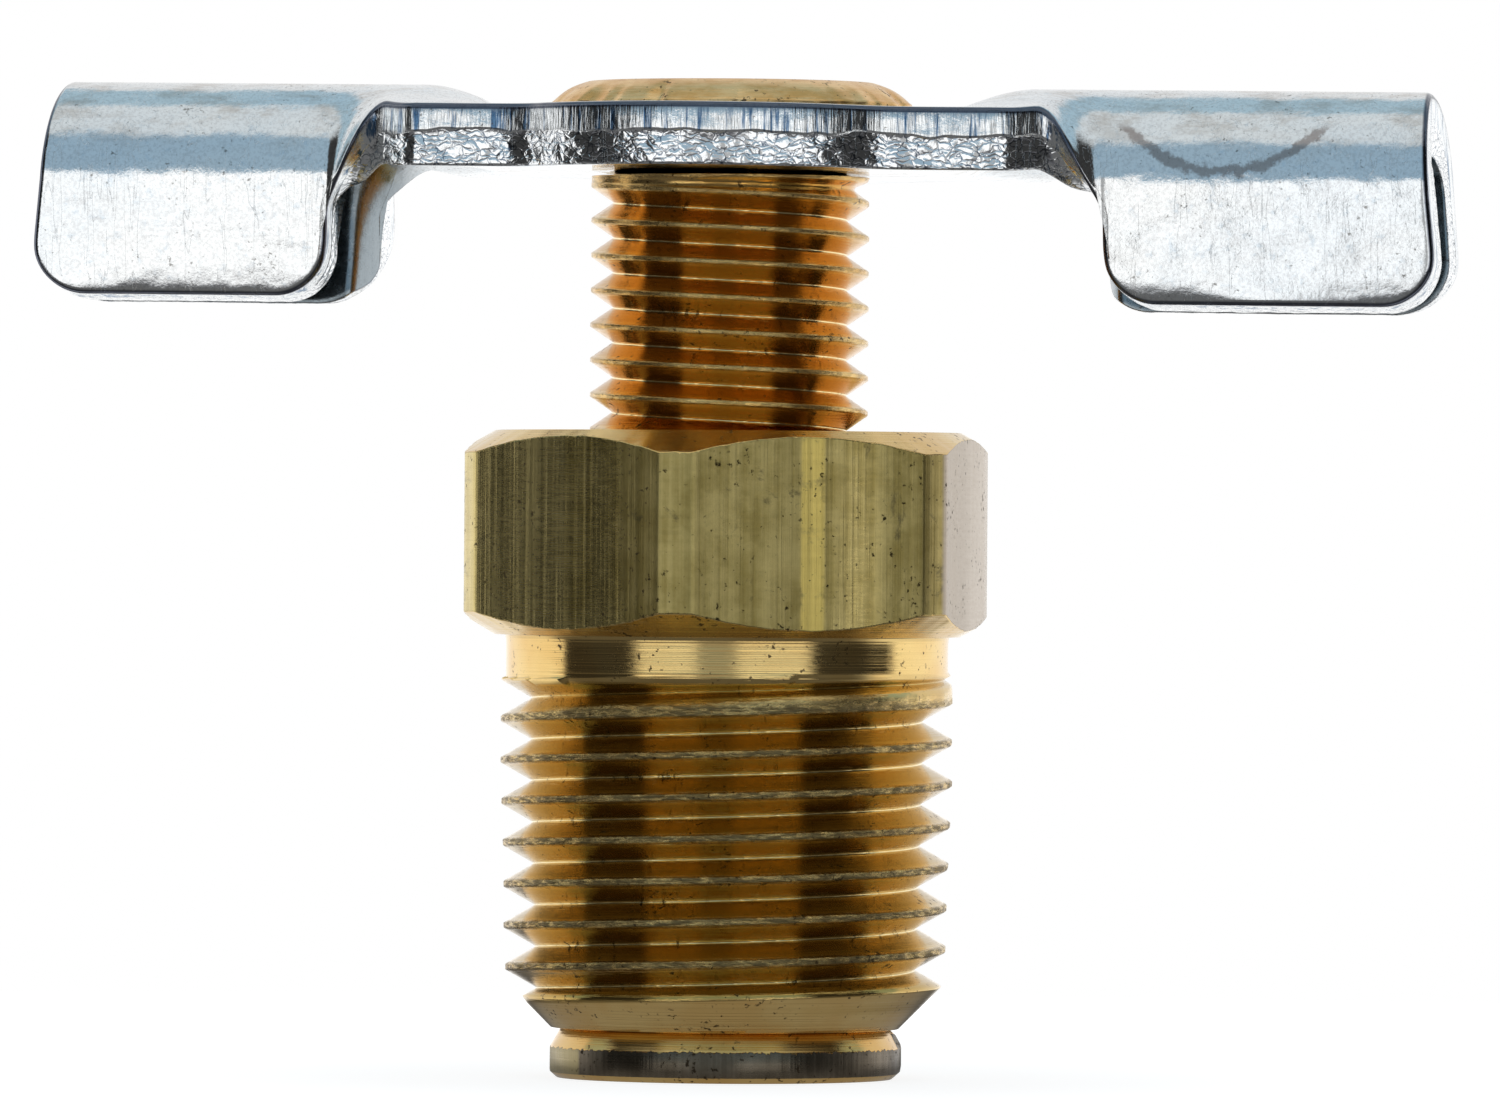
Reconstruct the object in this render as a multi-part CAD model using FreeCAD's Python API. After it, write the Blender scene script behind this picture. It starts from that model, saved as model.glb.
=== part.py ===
import FreeCAD, Part
import math
import os
from FreeCAD import Vector

# Radiator drain petcock: a hexagonal brass body with a tapered pipe thread, a hollow brass stem
# with a left-hand thread and a conical valve head below the body, and a stamped steel wing
# handle held by the flared top of the stem. All sizes are in millimetres. The stem's axis is Z,
# the handle lies along X, and Z = 0 is the flat under the valve head. The valve is closed.

# Both threads have 60 degree grooves
FLANK_ANGLE = 30.0

# Valve head and stem
HEAD_DIA = 7.94
HEAD_EDGE = 0.14
HEAD_BAND = 0.56
CONE_HALF_ANGLE = 30.0
NECK_DIA = 5.2
STEM_THREAD_DIA = 6.35
STEM_THREAD_PITCH = 25.4 / 32
STEM_THREAD_DEPTH = 0.43
STEM_THREAD_TURNS = 8
BORE_DIA = 3.0
BORE_FLOOR = 3.4
DRILL_POINT_ANGLE = 118.0
INLET_DIA = 2.4
INLET_HEIGHT = 4.8
FLARE_DIA = 8.26
FLARE_TOP_DIA = 6.5
FLARE_RISE = 0.60
FLARE_RIM = 0.10
FLARE_MOUTH = 0.45

# Body
BODY_BOTTOM = 1.14
NOSE_DIA = 7.92
PIPE_MAJOR_DIA = 9.94
PIPE_TAPER = 1 / 16
PIPE_THREAD_PITCH = 25.4 / 27
PIPE_THREAD_DEPTH = 0.54
PIPE_THREAD_TURNS = 8
SHANK_LENGTH = 8.92
COLLAR_DIA = 10.10
COLLAR_LENGTH = 0.92
HEX_ACROSS_FLATS = 11.11
HEX_CORNER_DIA = 12.50
HEX_HEIGHT = 4.64
HEX_CHAMFER_DIA = 10.60
HEX_CHAMFER_ANGLE = 30.0
SEAT_CLEARANCE = 0.02
WATERWAY_DIA = 6.90
GUIDE_LENGTH = 5.20
THREAD_CLEARANCE = 0.06
GUIDE_CHAMFER = 0.30

# Handle
SHEET = 1.43
HANDLE_CLEARANCE = 0.05
PLATE_HEIGHT_OVER_HEX = 5.86
HUB_DIA = 10.60
NECK_WIDTH = 6.60
HUB_HOLE_CLEARANCE = 0.05
SPIGOT_DIA = 5.30
WING_DEPTH = 4.30
WING_LEAN = 4.0
WING_RISE = 0.60
WING_BOTTOM_DROP = 4.44
WING_END = 16.08
WING_END_SLANT = 0.32
WING_INNER_EDGE = 9.10
WING_CORNER = 1.20
BEND_START = 6.30
BEND_STEPS = 5
LEAST_BEND = 0.02
HANDLE_OFF_CENTRE = 0.33

# Levels that follow from the sizes above
HEX_BOTTOM = BODY_BOTTOM + SHANK_LENGTH
HEX_TOP = HEX_BOTTOM + HEX_HEIGHT
PLATE_BOTTOM = HEX_TOP + PLATE_HEIGHT_OVER_HEX
PLATE_TOP = PLATE_BOTTOM + SHEET
SHOULDER_Z = PLATE_BOTTOM - HANDLE_CLEARANCE
FLARE_BOTTOM = PLATE_TOP + HANDLE_CLEARANCE
WING_CREST = PLATE_TOP + WING_RISE
WING_BOTTOM = PLATE_TOP - WING_BOTTOM_DROP
CONE_SLOPE = math.tan(math.radians(CONE_HALF_ANGLE))
CONE_BASE = HEAD_EDGE + HEAD_BAND


def turned(points):
    """Solid of revolution about Z, from (radius, height) points of its half section."""
    outline = [Vector(radius, 0, height) for radius, height in points]
    face = Part.Face(Part.makePolygon(outline + outline[:1]))
    return face.revolve(Vector(0, 0, 0), Vector(0, 0, 1), 360)


def threaded_points(bottom, pitch, turns, depth, radius_at):
    """Half-section points of a row of V grooves, one to each pitch, from the bottom one up."""
    points = []
    half_mouth = depth * math.tan(math.radians(FLANK_ANGLE))
    for turn in range(turns):
        middle = bottom + (turn + 0.5) * pitch
        for offset, cut in ((-half_mouth, 0), (0, depth), (half_mouth, 0)):
            height = middle + offset
            points.append((radius_at(height) - cut, height))
    return points


def make_body():
    """Hexagonal body: chamfered hexagon, collar, tapered thread, seat, waterway and threaded top."""
    nose_radius = NOSE_DIA / 2
    pipe_radius = PIPE_MAJOR_DIA / 2
    collar_radius = COLLAR_DIA / 2
    collar_bottom = HEX_BOTTOM - COLLAR_LENGTH
    thread_bottom = collar_bottom - PIPE_THREAD_TURNS * PIPE_THREAD_PITCH

    def pipe_radius_at(height):
        return min(pipe_radius + (height - BODY_BOTTOM) * PIPE_TAPER / 2, collar_radius)

    shank = [(0, BODY_BOTTOM), (pipe_radius, BODY_BOTTOM)]
    shank += threaded_points(thread_bottom, PIPE_THREAD_PITCH, PIPE_THREAD_TURNS, PIPE_THREAD_DEPTH,
                             pipe_radius_at)
    shank += [(collar_radius, collar_bottom), (collar_radius, HEX_BOTTOM), (0, HEX_BOTTOM)]
    body = turned(shank)
    nose_cone = Part.makeCone(nose_radius, nose_radius + SHANK_LENGTH, SHANK_LENGTH,
                              Vector(0, 0, BODY_BOTTOM))
    body = body.common(nose_cone)

    corner_radius = HEX_CORNER_DIA / 2
    chamfer_radius = HEX_CHAMFER_DIA / 2
    chamfer = (corner_radius - chamfer_radius) * math.tan(math.radians(HEX_CHAMFER_ANGLE))
    blank = turned([(0, HEX_BOTTOM), (chamfer_radius, HEX_BOTTOM), (corner_radius, HEX_BOTTOM + chamfer),
                    (corner_radius, HEX_TOP - chamfer), (chamfer_radius, HEX_TOP), (0, HEX_TOP)])
    sharp_radius = HEX_ACROSS_FLATS / 2 / math.cos(math.pi / 6)
    corner_angles = [math.pi / 6 + side * math.pi / 3 for side in range(7)]
    corners = [Vector(sharp_radius * math.cos(angle), sharp_radius * math.sin(angle), HEX_BOTTOM)
               for angle in corner_angles]
    prism = Part.Face(Part.makePolygon(corners)).extrude(Vector(0, 0, HEX_HEIGHT))
    body = body.fuse(blank.common(prism))

    seat_radius = HEAD_DIA / 2 - (BODY_BOTTOM - CONE_BASE) * CONE_SLOPE
    seat_radius += SEAT_CLEARANCE / math.cos(math.radians(CONE_HALF_ANGLE))
    waterway_radius = WATERWAY_DIA / 2
    seat_top = BODY_BOTTOM + (seat_radius - waterway_radius) / CONE_SLOPE
    guide_radius = STEM_THREAD_DIA / 2 + THREAD_CLEARANCE
    guide_bottom = HEX_TOP - GUIDE_LENGTH
    bore = turned([(0, BODY_BOTTOM), (seat_radius, BODY_BOTTOM), (waterway_radius, seat_top),
                   (waterway_radius, guide_bottom),
                   (guide_radius, guide_bottom + waterway_radius - guide_radius),
                   (guide_radius, HEX_TOP - GUIDE_CHAMFER),
                   (guide_radius + GUIDE_CHAMFER, HEX_TOP), (0, HEX_TOP)])
    return body.cut(bore).removeSplitter()


def make_stem():
    """Hollow stem: valve head, neck, left-hand thread, spigot through the handle, flared top."""
    head_radius = HEAD_DIA / 2
    neck_radius = NECK_DIA / 2
    thread_radius = STEM_THREAD_DIA / 2
    root_radius = thread_radius - STEM_THREAD_DEPTH
    cone_top = CONE_BASE + (head_radius - neck_radius) / CONE_SLOPE
    thread_bottom = SHOULDER_Z - STEM_THREAD_TURNS * STEM_THREAD_PITCH
    outline = [(0, 0), (head_radius - HEAD_EDGE, 0), (head_radius, HEAD_EDGE), (head_radius, CONE_BASE),
               (neck_radius, cone_top), (neck_radius, thread_bottom - (root_radius - neck_radius)),
               (root_radius, thread_bottom)]
    outline += threaded_points(thread_bottom, STEM_THREAD_PITCH, STEM_THREAD_TURNS,
                               STEM_THREAD_DEPTH, lambda height: thread_radius)
    outline += [(thread_radius, SHOULDER_Z), (SPIGOT_DIA / 2, SHOULDER_Z), (SPIGOT_DIA / 2, FLARE_BOTTOM),
                (FLARE_DIA / 2, FLARE_BOTTOM), (FLARE_DIA / 2, FLARE_BOTTOM + FLARE_RIM),
                (FLARE_TOP_DIA / 2, FLARE_BOTTOM + FLARE_RISE), (0, FLARE_BOTTOM + FLARE_RISE)]
    stem = turned(outline)

    bore_radius = BORE_DIA / 2
    drill_point = bore_radius / math.tan(math.radians(DRILL_POINT_ANGLE / 2))
    flare_top = FLARE_BOTTOM + FLARE_RISE
    bore = turned([(0, BORE_FLOOR - drill_point), (bore_radius, BORE_FLOOR),
                   (bore_radius, flare_top - FLARE_MOUTH), (bore_radius + FLARE_MOUTH, flare_top),
                   (0, flare_top)])
    inlet_start = Vector(0, -NECK_DIA, INLET_HEIGHT)
    inlet = Part.makeCylinder(INLET_DIA / 2, 2 * NECK_DIA, inlet_start, Vector(0, 1, 0))
    return stem.cut(bore).cut(inlet).removeSplitter()


def sheet_section(x, bend, half_width, crest):
    """Closed wire across the bent sheet at x: an arc over the top and a straight panel each side.

    bend is 0 for flat sheet and 1 for a finished wing. The length along the middle of the sheet
    stays the same, so the arc is wide and shallow where the bend begins.
    """
    full_angle = math.radians(90 + WING_LEAN)
    middle_radius = (WING_DEPTH - SHEET) / 2
    arc_length = middle_radius * full_angle
    angle = full_angle * bend
    radius = arc_length / angle
    centre = crest - SHEET / 2 - radius
    straight = half_width - arc_length

    def point(side, turn, offset, along):
        reach = radius + offset
        y = reach * math.sin(turn) + along * math.cos(turn)
        z = reach * math.cos(turn) - along * math.sin(turn)
        return Vector(x, side * y, centre + z)

    outer = SHEET / 2
    inner = -SHEET / 2
    edges = [
        Part.makeLine(point(-1, angle, outer, straight), point(-1, angle, outer, 0)),
        Part.Arc(point(-1, angle, outer, 0), point(1, 0, outer, 0), point(1, angle, outer, 0)).toShape(),
        Part.makeLine(point(1, angle, outer, 0), point(1, angle, outer, straight)),
        Part.makeLine(point(1, angle, outer, straight), point(1, angle, inner, straight)),
        Part.makeLine(point(1, angle, inner, straight), point(1, angle, inner, 0)),
        Part.Arc(point(1, angle, inner, 0), point(1, 0, inner, 0), point(-1, angle, inner, 0)).toShape(),
        Part.makeLine(point(-1, angle, inner, 0), point(-1, angle, inner, straight)),
        Part.makeLine(point(-1, angle, inner, straight), point(-1, angle, outer, straight)),
    ]
    return Part.Wire(edges)


def wing_outline(end):
    """Side view of one wing, as a prism through both panels: slanted outer end, rounded corners."""
    corner = WING_CORNER
    inner = WING_INNER_EDGE
    outer = end + WING_END_SLANT
    bevel = corner * (1 - math.sqrt(0.5))
    above = WING_CREST + SHEET
    low = WING_BOTTOM
    depth = WING_DEPTH * 2

    def at(x, z):
        return Vector(x, -depth / 2, z)

    edges = [
        Part.makeLine(at(inner, above), at(inner, low + corner)),
        Part.Arc(at(inner, low + corner), at(inner + bevel, low + bevel), at(inner + corner, low)).toShape(),
        Part.makeLine(at(inner + corner, low), at(outer - corner, low)),
        Part.Arc(at(outer - corner, low), at(outer - bevel, low + bevel), at(outer, low + corner)).toShape(),
        Part.makeLine(at(outer, low + corner), at(end, WING_CREST)),
        Part.makeLine(at(end, WING_CREST), at(end, above)),
        Part.makeLine(at(end, above), at(inner, above)),
    ]
    return Part.Face(Part.Wire(edges)).extrude(Vector(0, depth, 0))


def make_wing(end):
    """One wing towards +X: the sheet rolls from flat into an upside-down channel, then runs out."""
    middle_radius = (WING_DEPTH - SHEET) / 2
    lean = math.radians(WING_LEAN)
    arc_length = middle_radius * (math.pi / 2 + lean)
    arc_drop = WING_DEPTH / 2 * (1 + math.sin(lean))
    panel = (WING_CREST - arc_drop - WING_BOTTOM) / math.cos(lean)
    sections = []
    for step in range(BEND_STEPS + 1):
        share = step / BEND_STEPS
        x = BEND_START + share * (WING_INNER_EDGE - BEND_START)
        bend = LEAST_BEND + (1 - LEAST_BEND) * share ** 2 * (3 - 2 * share)
        rise = WING_RISE * math.sin(share * math.pi / 2)
        sections.append(sheet_section(x, bend, NECK_WIDTH / 2, PLATE_TOP + rise))
    rolled = Part.makeLoft(sections, True, True)
    channel_section = Part.Face(sheet_section(WING_INNER_EDGE, 1, arc_length + panel, WING_CREST))
    channel = channel_section.extrude(Vector(end + WING_END_SLANT - WING_INNER_EDGE, 0, 0))
    return rolled.fuse(channel.common(wing_outline(end)))


def make_handle():
    """Stamped wing handle: round hub with a hole, a neck each side, and two folded wings."""
    hub = Part.makeCylinder(HUB_DIA / 2, SHEET, Vector(0, 0, PLATE_BOTTOM))
    strip_corner = Vector(-BEND_START, -NECK_WIDTH / 2, PLATE_BOTTOM)
    strip = Part.makeBox(2 * BEND_START, NECK_WIDTH, SHEET, strip_corner)
    plate = hub.fuse(strip)
    right = make_wing(WING_END + HANDLE_OFF_CENTRE)
    left = make_wing(WING_END - HANDLE_OFF_CENTRE)
    left = left.mirror(Vector(0, 0, 0), Vector(1, 0, 0))
    handle = plate.fuse([right, left])
    hole = Part.makeCylinder(SPIGOT_DIA / 2 + HUB_HOLE_CLEARANCE, SHEET, Vector(0, 0, PLATE_BOTTOM))
    return handle.cut(hole).removeSplitter()


os.makedirs("parts", exist_ok=True)
for name, make in (("body", make_body), ("stem", make_stem), ("handle", make_handle)):
    shape = make()
    print(name, len(shape.Solids), "solid, valid", shape.isValid(), "volume", round(shape.Volume, 3))
    shape.exportStep("parts/" + name + ".step")
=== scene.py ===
import math

import bpy
import numpy as np
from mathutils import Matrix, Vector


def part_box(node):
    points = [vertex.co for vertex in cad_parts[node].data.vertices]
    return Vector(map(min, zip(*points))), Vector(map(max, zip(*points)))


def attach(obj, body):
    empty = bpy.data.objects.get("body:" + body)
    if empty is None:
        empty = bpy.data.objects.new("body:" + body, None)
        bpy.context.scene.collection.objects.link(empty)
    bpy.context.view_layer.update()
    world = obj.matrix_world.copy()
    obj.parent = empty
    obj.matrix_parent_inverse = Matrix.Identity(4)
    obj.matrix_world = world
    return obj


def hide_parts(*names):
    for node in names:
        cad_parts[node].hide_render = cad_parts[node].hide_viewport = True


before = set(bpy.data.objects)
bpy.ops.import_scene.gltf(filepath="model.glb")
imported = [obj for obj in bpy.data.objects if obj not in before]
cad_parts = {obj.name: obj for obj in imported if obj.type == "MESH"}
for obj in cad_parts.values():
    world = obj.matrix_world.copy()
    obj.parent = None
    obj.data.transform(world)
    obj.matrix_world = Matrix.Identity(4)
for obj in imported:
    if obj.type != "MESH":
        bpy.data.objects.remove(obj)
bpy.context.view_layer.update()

# Body. Brass, turned from drawn hexagon bar: the flats keep the bar's olive skin, and the chamfers,
# collar, tapered right-hand pipe thread and nose are bright turned metal. The crests of the thread
# are rough, torn and dark. The stem screws through its top, and its lower mouth is the valve seat.
MM = 0.001
PER_MM = 1 / MM
TURN = 2 * math.pi
BODY_BOTTOM, HEX_TOP = (corner[2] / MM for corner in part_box("body"))
HEX_HEIGHT = 4.64
HEX_FLAT_RADIUS = 5.555
HEX_CORNER_RADIUS = 6.20
CORNER_WEAR = 0.14
HEX_CHAMFER_RADIUS = 5.30
CHAMFER_SLOPE = math.tan(math.radians(30))
COLLAR_RADIUS = 5.05
COLLAR_EDGE = 9.08
COLLAR_EDGE_RISE = 0.11
NOSE_RADIUS = 3.96
PIPE_RADIUS = 4.97
PIPE_TAPER = 1 / 32
PIPE_PITCH = 25.4 / 27
PIPE_DEPTH = 0.68
PIPE_CREST = 0.12
PIPE_CREST_LIMIT = 5.15
PIPE_START = 5.287
SEAT_RADIUS = 3.74
WATERWAY_RADIUS = 3.45
GUIDE_RADIUS = 3.235
GUIDE_LENGTH = 5.20
GUIDE_CHAMFER = 0.30
HEX_BOTTOM = HEX_TOP - HEX_HEIGHT
STRIP_LEFT = 2.63
STRIP_RIGHT = 3.10
RELIEF = 0.012 * MM


def grain(x, y, z, size, seed):
    """Smooth noise in -1..1: random values on a cubic lattice of the given size, blended by smoothstep."""
    table = np.random.default_rng(seed).uniform(-1, 1, 4096)
    cells = [np.floor(axis / size).astype(np.int64) for axis in (x, y, z)]
    shares = [axis / size - cell for axis, cell in zip((x, y, z), cells)]
    blends = [share * share * (3 - 2 * share) for share in shares]
    total = np.zeros(np.shape(x))
    for corner in range(8):
        steps = [(corner >> axis) & 1 for axis in range(3)]
        key = sum((cell + step) * prime for cell, step, prime in zip(cells, steps, (73, 1291, 28657)))
        weight = np.ones(np.shape(x))
        for blend, step in zip(blends, steps):
            weight = weight * (blend if step else 1 - blend)
        total += table[key % 4096] * weight
    return total


def smooth_step(low, high, value):
    """0 below low, 1 above high, and 3 s squared less 2 s cubed between them."""
    share = np.clip((value - low) / (high - low), 0, 1)
    return share * share * (3 - 2 * share)


def soft_least(first, second, blend):
    """The smaller of two values, with the corner between them rounded over the width blend."""
    near = np.clip(1 - np.abs(first - second) / blend, 0, 1)
    return np.minimum(first, second) - near * near * blend / 4


def closed_mesh(name, points, triangles, masks):
    """Mesh object from points in millimetres: equal points are merged and empty triangles dropped."""
    rounded = np.round(points, 6) + 0.0
    unique, first, index = np.unique(rounded, axis=0, return_index=True, return_inverse=True)
    triangles = index.reshape(-1)[triangles]
    a, b, c = triangles.T
    triangles = triangles[(a != b) & (b != c) & (c != a)]
    mesh = bpy.data.meshes.new(name)
    mesh.vertices.add(len(unique))
    mesh.vertices.foreach_set("co", (points[first] * MM).astype(np.float32).ravel())
    mesh.loops.add(triangles.size)
    mesh.loops.foreach_set("vertex_index", triangles.astype(np.int32).ravel())
    mesh.polygons.add(len(triangles))
    mesh.polygons.foreach_set("loop_start", np.arange(0, triangles.size, 3, dtype=np.int32))
    mesh.polygons.foreach_set("loop_total", np.full(len(triangles), 3, dtype=np.int32))
    mesh.update(calc_edges=True)
    mesh.validate()
    for mask, values in masks.items():
        layer = mesh.attributes.new(mask, "FLOAT", "POINT")
        layer.data.foreach_set("value", values[first].astype(np.float32))
    mesh.shade_smooth()
    piece = bpy.data.objects.new(name, mesh)
    bpy.context.scene.collection.objects.link(piece)
    return piece


def split_quads(a, b, c, d):
    """Two triangles for each quad of point numbers."""
    return np.concatenate([np.stack([a, b, c], -1).reshape(-1, 3), np.stack([a, c, d], -1).reshape(-1, 3)])


def turned_mesh(name, theta, radius, height, shift, closed, masks):
    """Turned surface: row i of radius and height is carried round at the angles theta.

    shift[i] says which row the last column of row i runs into, 0 for a ring and the number of rows
    in one pitch for a helix. A closed profile joins its last row to its first.
    """
    rows, columns = radius.shape
    points = np.stack([radius * np.cos(theta), radius * np.sin(theta), height], axis=-1)
    row = np.arange(rows)
    index = row[:, None] * columns + np.arange(columns)[None, :]
    index[:, -1] = (row + shift) * columns
    if closed:
        index = np.vstack([index, index[:1]])
    triangles = split_quads(index[:-1, :-1], index[:-1, 1:], index[1:, 1:], index[1:, :-1])
    flat_masks = {mask: values.reshape(-1) for mask, values in masks.items()}
    return closed_mesh(name, points.reshape(-1, 3), triangles, flat_masks)


def helix_rows(low, high, pitch, offsets, hand, theta):
    """Heights of rows that climb or fall one pitch in a turn, cut off at low and high, and their shifts.

    offsets are heights within one pitch, and hand is 1 for a right-hand helix or -1 for a left-hand
    one. The rows start two pitches below low and end above high, so that the ends are full rings.
    """
    turns = math.ceil((high - low) / pitch) + 4
    starts = (low + pitch * np.arange(-2, turns - 2)[:, None] + offsets[None, :]).ravel()
    heights = starts[:, None] + hand * pitch * theta[None, :] / TURN
    row = np.arange(len(starts))
    shift = np.clip(row + hand * len(offsets), 0, len(starts) - 1) - row
    return np.clip(heights, low, high), shift


def groove_offsets(pitch, crest, low, start):
    """Heights in one pitch above low, close together at the root and at the crest's two edges."""
    edge = (pitch - crest) / 2
    half = np.array([0.012, 0.03, 0.10, 0.19, edge - 0.06, edge - 0.02, edge + 0.005, edge + 0.03])
    around = np.concatenate([-half[::-1], [0], half, [pitch / 2]])
    return np.sort((start + around - low) % pitch)


def groove_depth(theta, height, pitch, crest, depth, start, hand):
    """Depth of a V groove below its crest, and the height of the groove's own centre."""
    phase = (height - start - hand * pitch * theta / TURN) / pitch
    away = (phase - np.round(phase)) * pitch
    edge = (pitch - crest) / 2
    cut = depth * (1 - np.clip(np.abs(away) - 0.015, 0, None) / (edge - 0.015))
    return cut, height - away


# Angles of the body's columns: close together at the six corners of the hexagon.
edge_at = math.degrees(math.acos(HEX_FLAT_RADIUS / HEX_CORNER_RADIUS))
by_corner = np.concatenate([np.linspace(22, edge_at - 1.2, 5)[1:],
                            [edge_at - 0.8, edge_at - 0.3, edge_at + 0.1], np.linspace(edge_at + 0.5, 30, 3)])
sector = np.concatenate([-by_corner[::-1], np.linspace(-22, 22, 35), by_corner[:-1]])
angles = np.radians(np.concatenate([sector + 60 * side for side in range(6)] + [[330.0]]))
bearing = np.radians(np.abs((np.degrees(angles) + 30) % 60 - 30))
flat_radius = HEX_FLAT_RADIUS / np.cos(bearing)
worn = np.clip(np.cos(angles - math.radians(30)), 0, 1) ** 60
hex_radius = soft_least(flat_radius, HEX_CORNER_RADIUS - CORNER_WEAR * worn, 0.03)

body_blocks = []


def add_ring_rows(blocks, radius, height, theta):
    """Adds rows that close on themselves. Radius and height are numbers or arrays, one to each row."""
    radius, height = np.broadcast_arrays(np.atleast_1d(radius)[:, None], np.atleast_1d(height)[:, None])
    radius = np.repeat(radius, len(theta), axis=1)
    height = np.repeat(height, len(theta), axis=1)
    blocks.append((radius, height, np.zeros(len(radius), int)))


add_ring_rows(body_blocks, [SEAT_RADIUS, SEAT_RADIUS + 0.03, NOSE_RADIUS - 0.03, NOSE_RADIUS - 0.008],
              [BODY_BOTTOM + 0.03, BODY_BOTTOM, BODY_BOTTOM, BODY_BOTTOM], angles)

# The pipe thread and collar in one stretch of helical rows. Towards the collar the tool leaves the
# work, so the last groove runs out with its upper edge at one height.
thread_low = BODY_BOTTOM + 0.004
thread_high = HEX_BOTTOM - 0.20
offsets = groove_offsets(PIPE_PITCH, PIPE_CREST, thread_low, PIPE_START)
pipe_z, pipe_shift = helix_rows(thread_low, thread_high, PIPE_PITCH, offsets, 1, angles)
turn_angle = np.broadcast_to(angles, pipe_z.shape)
pipe_cut, pipe_centre = groove_depth(turn_angle, pipe_z, PIPE_PITCH, PIPE_CREST, PIPE_DEPTH, PIPE_START, 1)
flank_slope = PIPE_DEPTH / ((PIPE_PITCH - PIPE_CREST) / 2)
round_angle = (np.degrees(turn_angle) + 180) % 360 - 180
raised = smooth_step(-75, 0, round_angle) * smooth_step(170, 60, round_angle)
collar_edge = COLLAR_EDGE + COLLAR_EDGE_RISE * raised
run_out = np.clip((collar_edge - pipe_centre) * flank_slope, 0, PIPE_DEPTH)
pipe_cut = pipe_cut - (PIPE_DEPTH - run_out)
pipe_cut = pipe_cut * smooth_step(BODY_BOTTOM + 0.30, BODY_BOTTOM + 0.75, pipe_z)
envelope = np.minimum(PIPE_RADIUS + (pipe_z - BODY_BOTTOM) * PIPE_TAPER, PIPE_CREST_LIMIT)
envelope = np.where(pipe_z > collar_edge - 0.01, COLLAR_RADIUS, envelope)
px, py = envelope * np.cos(turn_angle), envelope * np.sin(turn_angle)
ragged = grain(px, py, pipe_z, 0.16, 3) + 0.6 * grain(px, py, pipe_z, 0.5, 4)
on_crest = np.clip(1 - pipe_cut / 0.12, 0, 1) * smooth_step(8.85, 8.6, pipe_z)
envelope = envelope - 0.012 + on_crest * (0.018 * ragged)
nose = NOSE_RADIUS + (pipe_z - BODY_BOTTOM)
grooved = envelope - np.clip(pipe_cut + 0.012 * ragged * on_crest, 0, None)
pipe_r = soft_least(soft_least(envelope, grooved, 0.03), nose, 0.03)
body_blocks.append((pipe_r, pipe_z, pipe_shift))
add_ring_rows(body_blocks, [COLLAR_RADIUS - 0.012, COLLAR_RADIUS, COLLAR_RADIUS + 0.02],
              [HEX_BOTTOM - 0.10, HEX_BOTTOM - 0.02, HEX_BOTTOM], angles)

# The hexagon: rows follow the crease between the two turned chamfers and the drawn flats.
share = np.array([0.0, 0.04, 0.25, 0.5, 0.75, 0.94, 1.0])[:, None]
crease = (hex_radius - HEX_CHAMFER_RADIUS) * CHAMFER_SLOPE
burr = 0.012 * grain(hex_radius * np.cos(angles), hex_radius * np.sin(angles), 0 * angles, 0.22, 11)
lower_r = HEX_CHAMFER_RADIUS + (hex_radius - HEX_CHAMFER_RADIUS)[None, :] * share
lower_z = HEX_BOTTOM + (crease + burr)[None, :] * share
upper_z = HEX_TOP - (crease - burr)[None, :] * share[::-1]
bottom_edge = HEX_BOTTOM + (crease + burr)[None, :]
top_edge = HEX_TOP - (crease - burr)[None, :]
rise = np.array([0.006, 0.02, 0.10, 0.25, 0.5, 0.75, 0.90, 0.98, 0.994])[:, None]
side_z = bottom_edge + (top_edge - bottom_edge) * rise
side_r = np.repeat(hex_radius[None, :], len(rise), axis=0)
for rows_r, rows_z in ((lower_r, lower_z), (side_r, side_z), (lower_r[::-1], upper_z)):
    body_blocks.append((rows_r, rows_z, np.zeros(len(rows_r), int)))

guide_bottom = HEX_TOP - GUIDE_LENGTH
seat_top = BODY_BOTTOM + (SEAT_RADIUS - WATERWAY_RADIUS) / CHAMFER_SLOPE
add_ring_rows(body_blocks, [HEX_CHAMFER_RADIUS - 0.03, 4.4, GUIDE_RADIUS + GUIDE_CHAMFER + 0.02,
                            GUIDE_RADIUS + GUIDE_CHAMFER, GUIDE_RADIUS, GUIDE_RADIUS, WATERWAY_RADIUS,
                            WATERWAY_RADIUS, WATERWAY_RADIUS],
              [HEX_TOP, HEX_TOP, HEX_TOP, HEX_TOP - 0.02, HEX_TOP - GUIDE_CHAMFER, guide_bottom,
               guide_bottom - 0.2, seat_top + 1, seat_top], angles)
body_r = np.concatenate([block[0] for block in body_blocks])
body_z = np.concatenate([block[1] for block in body_blocks])
body_shift = np.concatenate([block[2] for block in body_blocks])

# Masks for the finish: distance in millimetres above and below the crease on the flats, and how deep
# in a groove a point lies.
edge_gap = np.minimum(body_z - bottom_edge, top_edge - body_z)
outside = body_r > hex_radius[None, :] - 0.002
skin = np.where(outside & (body_z > HEX_BOTTOM), edge_gap, -1.0)
groove = np.zeros(body_r.shape)
first_pipe_row = len(body_blocks[0][0])
pipe_rows = slice(first_pipe_row, first_pipe_row + len(pipe_r))
groove[pipe_rows] = np.clip(pipe_cut / PIPE_DEPTH, 0, 1)
crest_mask = np.zeros(body_r.shape)
crest_mask[pipe_rows] = smooth_step(0.10, 0.0, pipe_cut) * smooth_step(8.80, 8.45, pipe_z) * (nose > envelope)
body = turned_mesh("body_finish", angles, body_r, body_z, body_shift, True,
                   {"skin": skin, "groove": groove, "crest": crest_mask})
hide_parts("body")
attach(body, "valve_body")


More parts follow.
